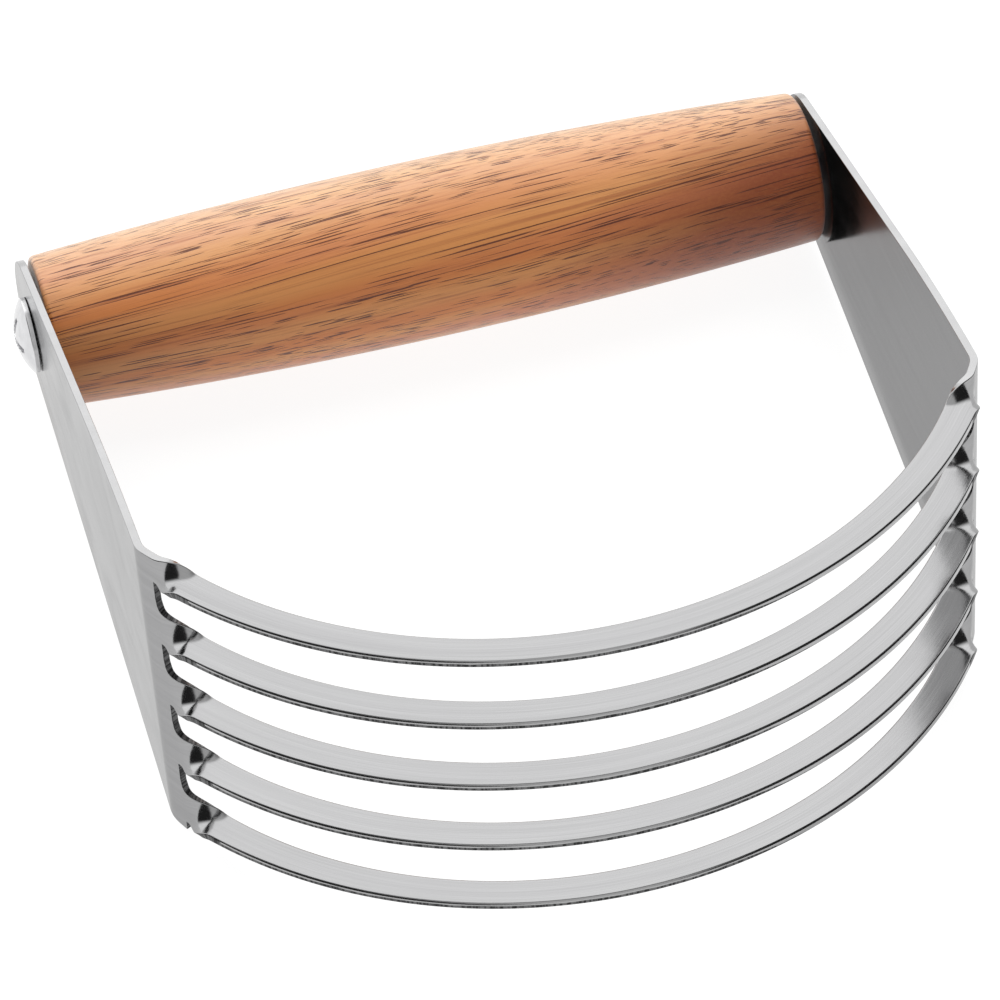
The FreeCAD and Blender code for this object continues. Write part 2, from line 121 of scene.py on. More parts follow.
# The camera stands where the whole tool is seen from above and from the front left.
CAMERA_AIM = (-4.6, -4.7, 22.6)
CAMERA_DISTANCE = 696.5
CAMERA_AZIMUTH = -14.94
CAMERA_ELEVATION = 51.68
CAMERA_ROLL = 0.95
CAMERA_LENS = 182.9

# The floor gives off light of its own. Its radius and the lights' places and sizes are in metres.
LIGHT_TABLE = 0.90
FLOOR_RADIUS = 8.0
KEY_LIGHT = {"place": (0.15, 0.75, 1.45), "size": (2.0, 1.4), "power": 26.0}
FILL_LIGHT = {"place": (-0.7, -0.95, 0.75), "size": (0.8, 0.6), "power": 4.0}

# How bright the studio is behind the tool, along its middle, and in front towards the sides. Each fade is
# the span of the direction's Y (behind, sides) or X (middle) over which the brightness changes.
BACK_BRIGHTNESS = 1.76
BACK_FADE = (0.25, 0.70)
FRONT_BRIGHTNESS = 0.85
FRONT_FADE = (0.22, 0.38)
SIDE_BRIGHTNESS = 0.03
SIDE_FADE = (-0.14, -0.34)
DARKEST = 0.03
# How bright the camera itself sees the studio.
PALE_WALL = 0.93

# The ring sits just outside the handle's surface, at its right end.
SHADE_RING_RADIUS = 11.6
SHADE_RING_SPAN = (52.5, 57.2)
# The film lies just above the floor, between two corners inside the right arm.
SHADE_SHEET_CORNERS = ((10.0, -70.0), (56.0, 90.0))
SHADE_SHEET_HEIGHT = 0.2
SHADE_SHEET_DENSITY = 0.22


# ---------------------------------------------------------------- node helpers

def set_range(node, low, high, to_low, to_high):
    """Makes a Map Range node map low..high to to_low..to_high."""
    for name, number in zip(("From Min", "From Max", "To Min", "To Max"), (low, high, to_low, to_high)):
        node.inputs[name].default_value = number


class Shader:
    """A material's node tree, with short ways to add and join nodes."""

    def __init__(self, name):
        self.material = bpy.data.materials.new(name)
        self.material.use_nodes = True
        self.tree = self.material.node_tree
        self.surface = self.tree.nodes["Principled BSDF"]

    def node(self, kind, **settings):
        made = self.tree.nodes.new(kind)
        for key, value in settings.items():
            setattr(made, key, value)
        return made

    def feed(self, socket, source):
        """A socket's value: another node's output, or a plain number, vector or colour."""
        if isinstance(source, bpy.types.NodeSocket):
            self.tree.links.new(source, socket)
        else:
            socket.default_value = source

    def mapped(self, coordinates, scale, location=(0, 0, 0), rotation=(0, 0, 0)):
        made = self.node("ShaderNodeMapping")
        self.feed(made.inputs["Vector"], coordinates)
        made.inputs["Scale"].default_value = scale
        made.inputs["Location"].default_value = location
        made.inputs["Rotation"].default_value = [math.radians(angle) for angle in rotation]
        return made.outputs["Vector"]

    def noise(self, coordinates, scale=1.0, detail=2.0, roughness=0.5, distortion=0.0):
        made = self.node("ShaderNodeTexNoise")
        self.feed(made.inputs["Vector"], coordinates)
        made.inputs["Scale"].default_value = scale
        made.inputs["Detail"].default_value = detail
        made.inputs["Roughness"].default_value = roughness
        made.inputs["Distortion"].default_value = distortion
        return made.outputs["Fac"]

    def span(self, value, low, high, to_low=0.0, to_high=1.0):
        """value, moved from low..high to to_low..to_high and kept inside it."""
        made = self.node("ShaderNodeMapRange")
        self.feed(made.inputs["Value"], value)
        set_range(made, low, high, to_low, to_high)
        return made.outputs["Result"]

    def maths(self, operation, first, second=0.0):
        made = self.node("ShaderNodeMath", operation=operation)
        self.feed(made.inputs[0], first)
        self.feed(made.inputs[1], second)
        return made.outputs[0]

    def mixed(self, share, first, second):
        """Two colours mixed. The node's colour sockets are its inputs 6 and 7 and its output 2."""
        made = self.node("ShaderNodeMix", data_type="RGBA")
        self.feed(made.inputs[0], share)
        self.feed(made.inputs[6], first)
        self.feed(made.inputs[7], second)
        return made.outputs[2]

    def vector(self, operation, first, second=(0, 0, 0)):
        made = self.node("ShaderNodeVectorMath", operation=operation)
        self.feed(made.inputs[0], first)
        self.feed(made.inputs[1], second)
        return made.outputs[0]

    def shifted(self, coordinates, height, amount):
        """Coordinates pushed aside by a vector times a height."""
        scaled = self.node("ShaderNodeVectorMath", operation="SCALE")
        scaled.inputs[0].default_value = amount
        self.feed(scaled.inputs["Scale"], height)
        return self.vector("ADD", coordinates, scaled.outputs[0])

    def bump(self, *layers):
        """Bumps one on another, each a height and a depth in millimetres."""
        normal = None
        for height, depth in layers:
            made = self.node("ShaderNodeBump")
            made.inputs["Strength"].default_value = 1.0
            made.inputs["Distance"].default_value = depth * MM
            self.feed(made.inputs["Height"], height)
            if normal is not None:
                self.feed(made.inputs["Normal"], normal)
            normal = made.outputs["Normal"]
        self.feed(self.surface.inputs["Normal"], normal)


# ---------------------------------------------------------------- materials

UV_NAME = "along_the_sheet"
THROUGH_UV_NAME = "through_the_sheet"
# The blades and the slots between their roots lie within this length of the middle of the sheet.
SHEARED_LENGTH = 69.0


def sheet_steel():
    """Polished stainless sheet with fine brushing along the strip, from its own UV map in millimetres."""
    shader = Shader("sheet_steel")
    place = shader.node("ShaderNodeUVMap", uv_map=UV_NAME).outputs["UV"]
    fine = shader.noise(shader.mapped(place, (0.035, 7.0, 1.0)), detail=4.0, roughness=0.6)
    broad = shader.noise(shader.mapped(place, (0.012, 0.9, 1.0)), detail=3.0, roughness=0.55)
    smudge = shader.noise(shader.mapped(place, (0.05, 0.08, 1.0)),
                          detail=3.0, roughness=0.6, distortion=0.6)
    speck = shader.noise(shader.mapped(place, (1.1, 1.6, 1.0)), detail=2.0)
    lines = shader.maths("ADD", shader.maths("MULTIPLY", fine, 0.6), shader.maths("MULTIPLY", broad, 0.4))
    tone = shader.mixed(shader.span(lines, 0.38, 0.62), (0.320, 0.320, 0.323, 1), (0.370, 0.370, 0.373, 1))
    shader.feed(shader.surface.inputs["Base Color"], tone)
    worn = shader.maths("ADD", shader.span(lines, 0.35, 0.65, 0.10, 0.17),
                        shader.span(smudge, 0.4, 0.7, 0.0, 0.07))
    shader.feed(shader.surface.inputs["Roughness"], worn)
    shader.surface.inputs["Metallic"].default_value = 1.0
    # Seen along its face the brushed sheet mirrors less than bare polished steel would.
    shader.surface.inputs["Specular Tint"].default_value = (0.72, 0.72, 0.72, 1)
    shader.bump((broad, 0.006), (fine, 0.0022), (speck, 0.0015))
    return shader.material


def cut_edge_steel():
    """The sheared edge of the sheet, dark and torn with fine tool marks below a narrow burnished band.

    Round the slots the whole edge is torn. The arms' own edges are ground smooth and bright.
    """
    shader = Shader("cut_edge_steel")
    place = shader.node("ShaderNodeUVMap", uv_map=UV_NAME).outputs["UV"]
    through = shader.node("ShaderNodeUVMap", uv_map=THROUGH_UV_NAME).outputs["UV"]
    along_parts = shader.node("ShaderNodeSeparateXYZ")
    shader.feed(along_parts.inputs[0], place)
    through_parts = shader.node("ShaderNodeSeparateXYZ")
    shader.feed(through_parts.inputs[0], through)
    length = shader.maths("ABSOLUTE", along_parts.outputs["X"])
    sheared = shader.span(length, SHEARED_LENGTH, SHEARED_LENGTH + 1.5, 1.0, 0.0)
    marks = shader.noise(shader.mapped(place, (3.4, 3.4, 1.0)), detail=1.0)
    patches = shader.noise(shader.mapped(place, (0.25, 0.25, 1.0)), detail=2.0)
    # The height through the sheet below which it tore, which wanders along the edge.
    torn_level = shader.span(patches, 0.3, 0.7, 0.08, 0.24)
    # Towards the right the blades sheared clean.
    clean = shader.span(along_parts.outputs["X"], 12.0, 34.0, 0.0, -0.8)
    by_root = shader.span(length, ROOT_START - 1.5, ROOT_START, 0.0, 2.0)
    torn_level = shader.maths("ADD", shader.maths("ADD", torn_level, clean), by_root)
    torn = shader.span(shader.maths("SUBTRACT", torn_level, through_parts.outputs["X"]), -0.04, 0.06)
    torn = shader.maths("MULTIPLY", torn, sheared)
    # The upper edge of the topmost strip is the sheet's own smooth edge until the blade starts.
    topmost = shader.span(along_parts.outputs["Y"], STRIP_TOP - 0.5, STRIP_TOP - 0.3)
    past_blade = shader.span(length, ROOT_START, ROOT_START + 1.0)
    outer_edge = shader.maths("MULTIPLY", topmost, past_blade)
    torn = shader.maths("MULTIPLY", torn, shader.maths("SUBTRACT", 1.0, outer_edge))
    hatched = shader.mixed(shader.span(marks, 0.40, 0.6), (0.03, 0.03, 0.031, 1), (0.15, 0.15, 0.152, 1))
    ground = shader.mixed(patches, (0.36, 0.36, 0.363, 1), (0.44, 0.44, 0.443, 1))
    shader.feed(shader.surface.inputs["Base Color"], shader.mixed(torn, ground, hatched))
    shader.feed(shader.surface.inputs["Roughness"], shader.span(torn, 0.0, 1.0, 0.22, 0.45))
    shader.surface.inputs["Metallic"].default_value = 1.0
    shader.bump((shader.maths("MULTIPLY", marks, torn), 0.02))
    return shader.material


def turned_wood():
    """A pinkish tan hardwood under thin varnish. Coordinates are millimetres about the handle's middle."""
    shader = Shader("turned_wood")
    objects = shader.node("ShaderNodeTexCoord").outputs["Object"]
    place = shader.mapped(objects, (1 / MM, 1 / MM, 1 / MM))
    # The pattern is looked up on a plain cylinder, so that it follows the barrel's bulge.
    outwards = shader.vector("NORMALIZE", shader.mapped(place, (0, 1, 1)))
    lengthwise = shader.mapped(place, (1, 0, 0))
    rolled = shader.vector("ADD", lengthwise, shader.mapped(outwards, (PATTERN_RADIUS,) * 3))
    drift = shader.noise(shader.mapped(rolled, (0.012, 0.04, 0.04)), detail=1.0)
    bent = shader.shifted(rolled, shader.span(drift, 0.25, 0.75, -1.0, 1.0), (0.0, 0.9, 0.9))
    # The grain runs a few degrees off the handle's axis.
    grain = shader.mapped(bent, (1, 1, 1), rotation=(0, 2.5, -3.0))
    # The growth rings' pith lies well below the handle.
    rings = shader.node("ShaderNodeTexWave", wave_type="RINGS", rings_direction="X", wave_profile="SIN")
    shader.feed(rings.inputs["Vector"], shader.mapped(grain, (0.01, 1.0, 1.0), (0, 9.0, 27.0)))
    rings.inputs["Scale"].default_value = 0.060
    rings.inputs["Distortion"].default_value = 1.0
    rings.inputs["Detail"].default_value = 1.0
    rings.inputs["Detail Scale"].default_value = 0.3
    bands = shader.noise(shader.mapped(grain, (0.008, 0.16, 0.16), (3.0, 1.0, 4.0)),
                         detail=1.0, roughness=0.4)
    lines = shader.noise(shader.mapped(grain, (0.012, 1.7, 1.7), (0.0, 3.0, 1.0)),
                         detail=2.0, roughness=0.6)
    fibres = shader.noise(shader.mapped(grain, (0.06, 3.6, 3.6)), detail=4.0, roughness=0.65)
    pores = shader.noise(shader.mapped(grain, (0.030, 5.4, 5.4), (7.0, 0, 0)), detail=0.0)
    crowded = shader.noise(shader.mapped(grain, (0.020, 0.30, 0.30), (1.0, 5.0, 2.0)), detail=1.5)
    mottle = shader.noise(shader.mapped(place, (1.6, 3.0, 3.0)), detail=3.0, roughness=0.7)
    # Painted light and shade: paler along the back, the handle's upper side where the key light falls, and
    # darker along the front of the right end, which the right arm shades.
    parts = shader.node("ShaderNodeSeparateXYZ")
    shader.feed(parts.inputs[0], bent)
    right_end_shade = shader.maths("ADD", parts.outputs["X"], shader.maths("MULTIPLY", parts.outputs["Y"], -2.5))

    tan = (0.60, 0.240, 0.065, 1)
    orange = (0.56, 0.178, 0.039, 1)
    pink = (0.54, 0.180, 0.075, 1)
    # The next two colours are painted light and painted shade, not the wood's own colours.
    painted_light_cream = (0.66, 0.465, 0.275, 1)
    painted_shade_brown = (0.20, 0.036, 0.010, 1)
    dark = (0.24, 0.050, 0.016, 1)
    pore = (0.080, 0.014, 0.005, 1)
    tone = shader.mixed(shader.span(rings.outputs["Fac"], 0.1, 0.9), tan, orange)
    tone = shader.mixed(shader.span(bands, 0.48, 0.66, 0.0, 0.9), tone, pink)
    # Painted light: the back of the handle, its lit upper side, is paler.
    tone = shader.mixed(shader.span(parts.outputs["Y"], -8.0, 7.5, 0.0, 0.72), tone, painted_light_cream)
    # Painted shade: the front of the right end, beside the right arm, is darker.
    tone = shader.mixed(shader.span(right_end_shade, 40.0, 70.0, 0.0, 0.85), tone, painted_shade_brown)
    tone = shader.mixed(shader.span(lines, 0.52, 0.72, 0.0, 0.50), tone, dark)
    tone = shader.mixed(shader.span(fibres, 0.50, 0.82, 0.0, 0.35), tone, dark)
    tone = shader.mixed(shader.span(mottle, 0.45, 0.80, 0.0, 0.18), tone, tan)
    threshold = shader.span(crowded, 0.36, 0.64, 0.67, 0.60)
    streak = shader.span(shader.maths("SUBTRACT", pores, threshold), 0.0, 0.06)
    tone = shader.mixed(shader.maths("MULTIPLY", streak, 0.9), tone, pore)
    shader.feed(shader.surface.inputs["Base Color"], tone)
    shader.feed(shader.surface.inputs["Roughness"], shader.span(mottle, 0.3, 0.7, 0.40, 0.52))
    shader.surface.inputs["Specular IOR Level"].default_value = 0.35
    shader.surface.inputs["Coat Weight"].default_value = 0.50
    shader.surface.inputs["Coat Roughness"].default_value = 0.42
    shader.surface.inputs["Sheen Weight"].default_value = 0.25
    shader.surface.inputs["Sheen Roughness"].default_value = 0.35
    hollow = shader.maths("MULTIPLY", streak, -1.0)
    shader.bump((hollow, 0.05), (fibres, 0.015), (mottle, 0.008))
    return shader.material


def screw_steel():
    """Bright polished screw steel with fine turning marks and faint smudges."""
    shader = Shader("screw_steel")
    objects = shader.node("ShaderNodeTexCoord").outputs["Object"]
    place = shader.mapped(objects, (1 / MM, 1 / MM, 1 / MM))
    turning = shader.node("ShaderNodeTexWave", wave_type="RINGS", rings_direction="X")
    shader.feed(turning.inputs["Vector"], place)
    turning.inputs["Scale"].default_value = 3.0
    turning.inputs["Distortion"].default_value = 1.0
    smudge = shader.noise(shader.mapped(place, (0.5, 0.5, 0.5)), detail=3.0)
    tone = shader.mixed(shader.span(smudge, 0.3, 0.7), (0.60, 0.60, 0.61, 1), (0.70, 0.70, 0.71, 1))
    shader.feed(shader.surface.inputs["Base Color"], tone)
    shader.feed(shader.surface.inputs["Roughness"], shader.span(smudge, 0.3, 0.7, 0.12, 0.22))
    shader.surface.inputs["Metallic"].default_value = 1.0
    shader.bump((turning.outputs["Fac"], 0.001))
    return shader.material


def floor_paint():
    """A plain pale floor with hardly any texture."""
    shader = Shader("floor_paint")
    objects = shader.node("ShaderNodeTexCoord").outputs["Object"]
    cloud = shader.noise(shader.mapped(objects, (2.0, 2.0, 2.0)), detail=2.0)
    tone = shader.mixed(cloud, (0.15, 0.15, 0.15, 1), (0.17, 0.17, 0.17, 1))
    shader.feed(shader.surface.inputs["Base Color"], tone)
    shader.surface.inputs["Roughness"].default_value = 0.85
    shader.surface.inputs["Specular IOR Level"].default_value = 0.1
    shader.surface.inputs["Emission Color"].default_value = (1, 1, 1, 1)
    shader.surface.inputs["Emission Strength"].default_value = LIGHT_TABLE
    return shader.material


# ---------------------------------------------------------------- mesh helpers

def spread(low, high, steps):
    """Evenly spaced numbers from low to high, both included."""
    return [low + (high - low) * step / steps for step in range(steps + 1)]


def new_piece(name, mesh, place, materials):
    """An object of the scene, smooth shaded, with its materials."""
    piece = bpy.data.objects.new(name, mesh)
    bpy.context.scene.collection.objects.link(piece)
    piece.matrix_world = place
    for material in materials:
        mesh.materials.append(material)
    for face in mesh.polygons:
        face.use_smooth = True
    return piece


def bevelled(piece, width, segments, limit):
    bevel = piece.modifiers.new("edge_rounding", "BEVEL")
    bevel.width = width * MM
    bevel.segments = segments
    bevel.limit_method = limit
    bevel.angle_limit = math.radians(SHARP_ANGLE)
    bevel.use_clamp_overlap = False
    bevel.harden_normals = True


def settle_modifiers(piece):
    """Makes the piece's mesh what its modifiers come to."""
    bpy.context.view_layer.update()
    finished = bpy.data.meshes.new_from_object(piece.evaluated_get(bpy.context.evaluated_depsgraph_get()))
    piece.modifiers.clear()
    piece.data = finished


# ---------------------------------------------------------------- the sheet: arms, roots and blades

class ArmProfile:
    """The right arm seen along Z: the middle of the sheet's thickness, flat, bent, then round."""

    def __init__(self):
        lean = math.radians(ARM_LEAN)
        self.normal = Vector((math.cos(lean), -math.sin(lean), 0))
        self.along = Vector((-math.sin(lean), -math.cos(lean), 0))
        self.blade_centre = Vector((0, -BLADE_CENTRE_REACH, 0))
        offset = ARM_SPACING / 2 * math.cos(lean) - BEND_RADIUS
        inner_radius = BLADE_MIDDLE_RADIUS - SHEET_GAUGE / 2
        aside = offset - self.blade_centre.dot(self.normal)
        run = self.blade_centre.dot(self.along) + math.sqrt((inner_radius - BEND_RADIUS) ** 2 - aside ** 2)
        self.bend_centre = self.normal * offset + self.along * run
        self.bend_radius = BEND_RADIUS + SHEET_GAUGE / 2
        self.level = offset + self.bend_radius
        outward = self.bend_centre - self.blade_centre
        self.circle_start = math.degrees(math.atan2(outward.x, -outward.y))
        self.bend_start_reach = -self.on_bend(ARM_LEAN_ANGLE).y

    def on_bend(self, angle):
        """A point on the bend. The angle is the outward normal's, 90 along +X and falling towards -Y."""
        turn = math.radians(angle)
        return self.bend_centre + Vector((math.sin(turn), -math.cos(turn), 0)) * self.bend_radius

    def on_circle(self, angle):
        turn = math.radians(angle)
        return self.blade_centre + Vector((math.sin(turn), -math.cos(turn), 0)) * BLADE_MIDDLE_RADIUS

    def on_flat(self, reach):
        along = (self.normal * self.level).y + reach
        return self.normal * self.level + self.along * (along / -self.along.y)

    def length_at_flat(self, reach):
        """How far along the sheet a point of the flat arm is from the middle of the blades."""
        gap = (self.bend_start_reach - reach) / -self.along.y
        return self.length_at_bend(ARM_LEAN_ANGLE) + gap

    def length_at_bend(self, angle):
        bent = math.radians(angle - self.circle_start) * self.bend_radius
        return math.radians(self.circle_start) * BLADE_MIDDLE_RADIUS + bent


class ArmOutline:
    """The arm seen along X: its upper and lower edge, and its round end, as (reach, z)."""

    def __init__(self):
        self.upper_touch = self.touching(Vector(SHOULDER), 1)
        tab_turn = Vector((TAB[0] - TAB_CORNER_RADIUS, -TAB[1]))
        self.lower_touch = self.touching(tab_turn, -1)
        self.tab_turn = tab_turn
        shoulder = Vector(SHOULDER)
        direction = (shoulder - self.upper_touch).normalized()
        side = Vector((direction.y, -direction.x))
        root_reach = BLADE_CENTRE_REACH + BLADE_MIDDLE_RADIUS * math.cos(math.radians(ROOT_ANGLE))
        chord = Vector((root_reach, STRIP_TOP)) - shoulder
        self.shoulder_radius = chord.length_squared / (2 * chord.dot(side))
        self.shoulder_centre = shoulder + side * self.shoulder_radius

    def touching(self, point, side):
        """Where the straight edge to a point leaves the round end."""
        centre = Vector((-ARM_END_OFFSET, 0))
        reach = point - centre
        swing = math.acos(ARM_END_RADIUS / reach.length)
        turn = math.atan2(reach.y, reach.x) + side * swing
        return centre + Vector((math.cos(turn), math.sin(turn))) * ARM_END_RADIUS

    def top(self, reach):
        """The height of the upper edge, from the round end to the blades."""
        if reach < SHOULDER[0]:
            share = (reach - self.upper_touch.x) / (SHOULDER[0] - self.upper_touch.x)
            return self.upper_touch.y + (SHOULDER[1] - self.upper_touch.y) * share
        aside = reach - self.shoulder_centre.x
        rise = math.sqrt(self.shoulder_radius ** 2 - aside ** 2)
        return self.shoulder_centre.y + math.copysign(rise, self.shoulder_radius)

    def bottom(self, reach):
        """The height of the lower edge, with the rounded corner of the tab."""
        if reach > self.tab_turn.x:
            aside = min(reach - self.tab_turn.x, TAB_CORNER_RADIUS)
            return self.tab_turn.y + TAB_CORNER_RADIUS - math.sqrt(TAB_CORNER_RADIUS ** 2 - aside ** 2)
        share = (reach - self.lower_touch.x) / (self.tab_turn.x - self.lower_touch.x)
        return self.lower_touch.y + (self.tab_turn.y - self.lower_touch.y) * share


STRIP_COLUMNS = 6
ROOT_ROWS = 22
ROOT_CROWDING = 1.5
ROOT_BLEND = 3.0
BEND_ROWS = 8
CIRCLE_ROWS = 4
BLADE_ROWS = 40
OUTLINE_STEP = 2.5
END_STEPS = 44
HOLE_STEPS = 24


class SheetHalf:
    """Builds the right half of the sheet's middle surface in a bmesh. side -1 builds the left half."""

    def __init__(self, mesh, side):
        self.mesh = mesh
        self.side = side
        self.profile = ArmProfile()
        self.outline = ArmOutline()
        self.flat = {}

    def vertex(self, point, length, height):
        """A vertex, with its place on the flat sheet kept for the UV map."""
        made = self.mesh.verts.new((self.side * point.x * MM, point.y * MM, point.z * MM))
        self.flat[made] = (self.side * length, height)
        return made

    def face(self, corners):
        made = self.mesh.faces.new(corners if self.side > 0 else list(reversed(corners)))
        layer = self.mesh.loops.layers.uv[UV_NAME]
        for loop in made.loops:
            loop[layer].uv = self.flat[loop.vert]

    def skin(self, rows):
        """Quads between rows that have as many vertices each."""
        for near, far in zip(rows, rows[1:]):
            for low in range(len(near) - 1):
                self.face((near[low], far[low], far[low + 1], near[low + 1]))

    def strip_heights(self, blade, top=None):
        """The heights of a strip's columns where it leaves the arm."""
        middle = (blade - (BLADES - 1) / 2) * BLADE_PITCH
        high = middle + HALF_WIDTH + (ROOT_FILLET if blade < BLADES - 1 else 0.0)
        if top is not None and blade == BLADES - 1:
            high = top
        return spread(middle - HALF_WIDTH, high, STRIP_COLUMNS)

    def row_heights(self, reach):
        heights = [self.outline.bottom(reach)]
        for blade in range(BLADES):
            heights += self.strip_heights(blade, self.outline.top(reach))
        return heights

    def row(self, point, length):
        made = []
        for height in self.row_heights(-point.y):
            made.append(self.vertex(Vector((point.x, point.y, height)), length, height))
        return made

    def flat_vertex(self, reach, height):
        point = self.profile.on_flat(reach)
        return self.vertex(Vector((point.x, point.y, height)), self.profile.length_at_flat(reach), height)

    def flat_arm(self, first_row):
        """The flat arm: two faces that meet along a line through the screw's hole."""
        outline = self.outline
        centre = Vector((-ARM_END_OFFSET, 0))

        def bow(touch):
            """The round end from its far point to where an edge leaves it."""
            swing = math.atan2(touch.y, touch.x - centre.x)
            far = math.copysign(math.pi, swing)
            return [centre + Vector((math.cos(angle), math.sin(angle))) * ARM_END_RADIUS
                    for angle in spread(far, swing, END_STEPS)[1:]]

        end = self.flat_vertex(centre.x - ARM_END_RADIUS, 0.0)
        hole_far = self.flat_vertex(-ARM_HOLE_RADIUS, 0.0)
        hole_near = self.flat_vertex(ARM_HOLE_RADIUS, 0.0)
        seam = min(range(len(first_row)), key=lambda index: abs(first_row[index].co.z))
        steps = int((self.profile.bend_start_reach - SHOULDER[0]) / OUTLINE_STEP)
        upper_reaches = spread(SHOULDER[0], self.profile.bend_start_reach, steps)[:-1]

        def half(edge, sign):
            """The corners of the upper or lower face, from the round end's far point and back."""
            around = [end] + [self.flat_vertex(point.x, point.y) for point in edge]
            row = first_row[seam:] if sign > 0 else first_row[:seam + 1][::-1]
            hole = [self.flat_vertex(ARM_HOLE_RADIUS * math.cos(angle),
                                     sign * ARM_HOLE_RADIUS * math.sin(angle))
                    for angle in spread(0, math.pi, HOLE_STEPS)[1:-1]]
            return around + row[::-1] + [hole_near] + hole + [hole_far]

        upper = bow(outline.upper_touch) + [Vector((reach, outline.top(reach))) for reach in upper_reaches]
        self.face(half(upper, 1)[::-1])
        self.face(half(bow(outline.lower_touch), -1))

    def root(self, blade, first_row):
        """A strip between the arm and its blade: it turns a quarter turn, its upper edge inwards."""
        height = (blade - (BLADES - 1) / 2) * BLADE_PITCH
        up = Vector((0, 0, 1))
        rows = [first_row]
        for step in range(1, ROOT_ROWS + 1):
            along = ROOT_LENGTH * (step / ROOT_ROWS) ** ROOT_CROWDING
            angle = math.radians(ROOT_ANGLE) - along / BLADE_MIDDLE_RADIUS
            share = min(max((along - TWIST_START) / (TWIST_END - TWIST_START), 0.0), 1.0)
            turn = math.pi / 2 * share * share * (3 - 2 * share)
            radial = Vector((math.sin(angle), -math.cos(angle), 0))
            across = up * math.cos(turn) - radial * math.sin(turn)
            flare = 0.0
            if blade < BLADES - 1 and along < ROOT_FILLET:
                flare = ROOT_FILLET - math.sqrt(ROOT_FILLET ** 2 - (ROOT_FILLET - along) ** 2)
            place = self.profile.blade_centre + radial * BLADE_MIDDLE_RADIUS + up * height
            rows.append([self.vertex(place + across * width, angle * BLADE_MIDDLE_RADIUS, height + width)
                         for width in spread(-HALF_WIDTH, HALF_WIDTH + flare, STRIP_COLUMNS)])
        self.skin(rows)
        return rows[-1]

    def blade(self, blade, first_row):
        """Half a blade, from its root to the middle of the tool."""
        height = (blade - (BLADES - 1) / 2) * BLADE_PITCH
        start = math.radians(ROOT_ANGLE) - ROOT_LENGTH / BLADE_MIDDLE_RADIUS
        rows = [first_row]
        for angle in spread(start, 0.0, BLADE_ROWS)[1:]:
            radial = Vector((math.sin(angle), -math.cos(angle), 0))
            rows.append([
                self.vertex(self.profile.blade_centre + radial * (BLADE_MIDDLE_RADIUS - width)
                            + Vector((0, 0, height)), angle * BLADE_MIDDLE_RADIUS, height + width)
                for width in spread(-HALF_WIDTH, HALF_WIDTH, STRIP_COLUMNS)])
        self.skin(rows)

    def build(self):
        profile = self.profile
        rows = []
        for angle in spread(ARM_LEAN_ANGLE, profile.circle_start, BEND_ROWS):
            rows.append(self.row(profile.on_bend(angle), profile.length_at_bend(angle)))
        for angle in spread(profile.circle_start, ROOT_ANGLE, CIRCLE_ROWS)[1:]:
            rows.append(self.row(profile.on_circle(angle), math.radians(angle) * BLADE_MIDDLE_RADIUS))
        self.flat_arm(rows[0])
        self.skin(rows)
        for blade in range(BLADES):
            first = 1 + blade * (STRIP_COLUMNS + 1)
            last_row = self.root(blade, rows[-1][first:first + STRIP_COLUMNS + 1])
            self.blade(blade, last_row)


def make_sheet():
    """Both arms and all blades as one piece of bent and twisted sheet."""
    mesh = bmesh.new()
    mesh.loops.layers.uv.new(UV_NAME)
    for side in (1, -1):
        SheetHalf(mesh, side).build()
    bmesh.ops.remove_doubles(mesh, verts=mesh.verts, dist=WELD_DISTANCE * MM)
    bmesh.ops.recalc_face_normals(mesh, faces=mesh.faces)
    mesh.transform(LAID_DOWN)
    data = bpy.data.meshes.new("blade_frame_sheet")
    mesh.to_mesh(data)
    mesh.free()
    piece = new_piece("blade_frame_sheet", data, Matrix.Identity(4), (sheet_steel(), cut_edge_steel()))
    middle = [(vertex.co.copy(), vertex.normal.copy()) for vertex in data.vertices]
    solid = piece.modifiers.new("gauge", "SOLIDIFY")
    solid.thickness = SHEET_GAUGE * MM
    solid.offset = 0.0
    solid.use_even_offset = True
    solid.use_quality_normals = True
    solid.material_offset_rim = 1
    settle_modifiers(piece)
    mark_sheet_faces(piece.data, middle)
    bevelled(piece, BLADE_EDGE_ROUNDING, segments=4, limit="WEIGHT")
    return piece


def mark_sheet_faces(data, middle):
    """Writes where each corner lies through the sheet, and how much each sharp edge is rounded."""
    count = len(middle)
    outermost = max(range(count), key=lambda index: middle[index][0].x)
    outward = 1 if middle[outermost][1].x > 0 else -1
    depths = []
    for vertex in data.vertices:
        place, normal = middle[vertex.index % count]
        side = 1 if (vertex.co - place).dot(normal) > 0 else -1
        depths.append(outward * side * SHEET_GAUGE / 2)
    through = data.uv_layers.new(name=THROUGH_UV_NAME)
    along = data.uv_layers[UV_NAME]
    lengths = [0.0] * len(data.vertices)
    for loop in data.loops:
        through.data[loop.index].uv = (depths[loop.vertex_index], 0.0)
        lengths[loop.vertex_index] = abs(along.data[loop.index].uv.x)
    mesh = bmesh.new()
    mesh.from_mesh(data)
    weight = mesh.edges.layers.float.new("bevel_weight_edge")
    for edge in mesh.edges:
        if len(edge.link_faces) == 2 and edge.calc_face_angle() > math.radians(SHARP_ANGLE):
            length = min(lengths[vertex.index] for vertex in edge.verts)
            share = min(max((length - ROOT_START + ROOT_BLEND) / ROOT_BLEND, 0.0), 1.0)
            edge[weight] = 1.0 + (ARM_EDGE_ROUNDING / BLADE_EDGE_ROUNDING - 1.0) * share
    mesh.to_mesh(data)
    mesh.free()


# ---------------------------------------------------------------- the handle and the screws

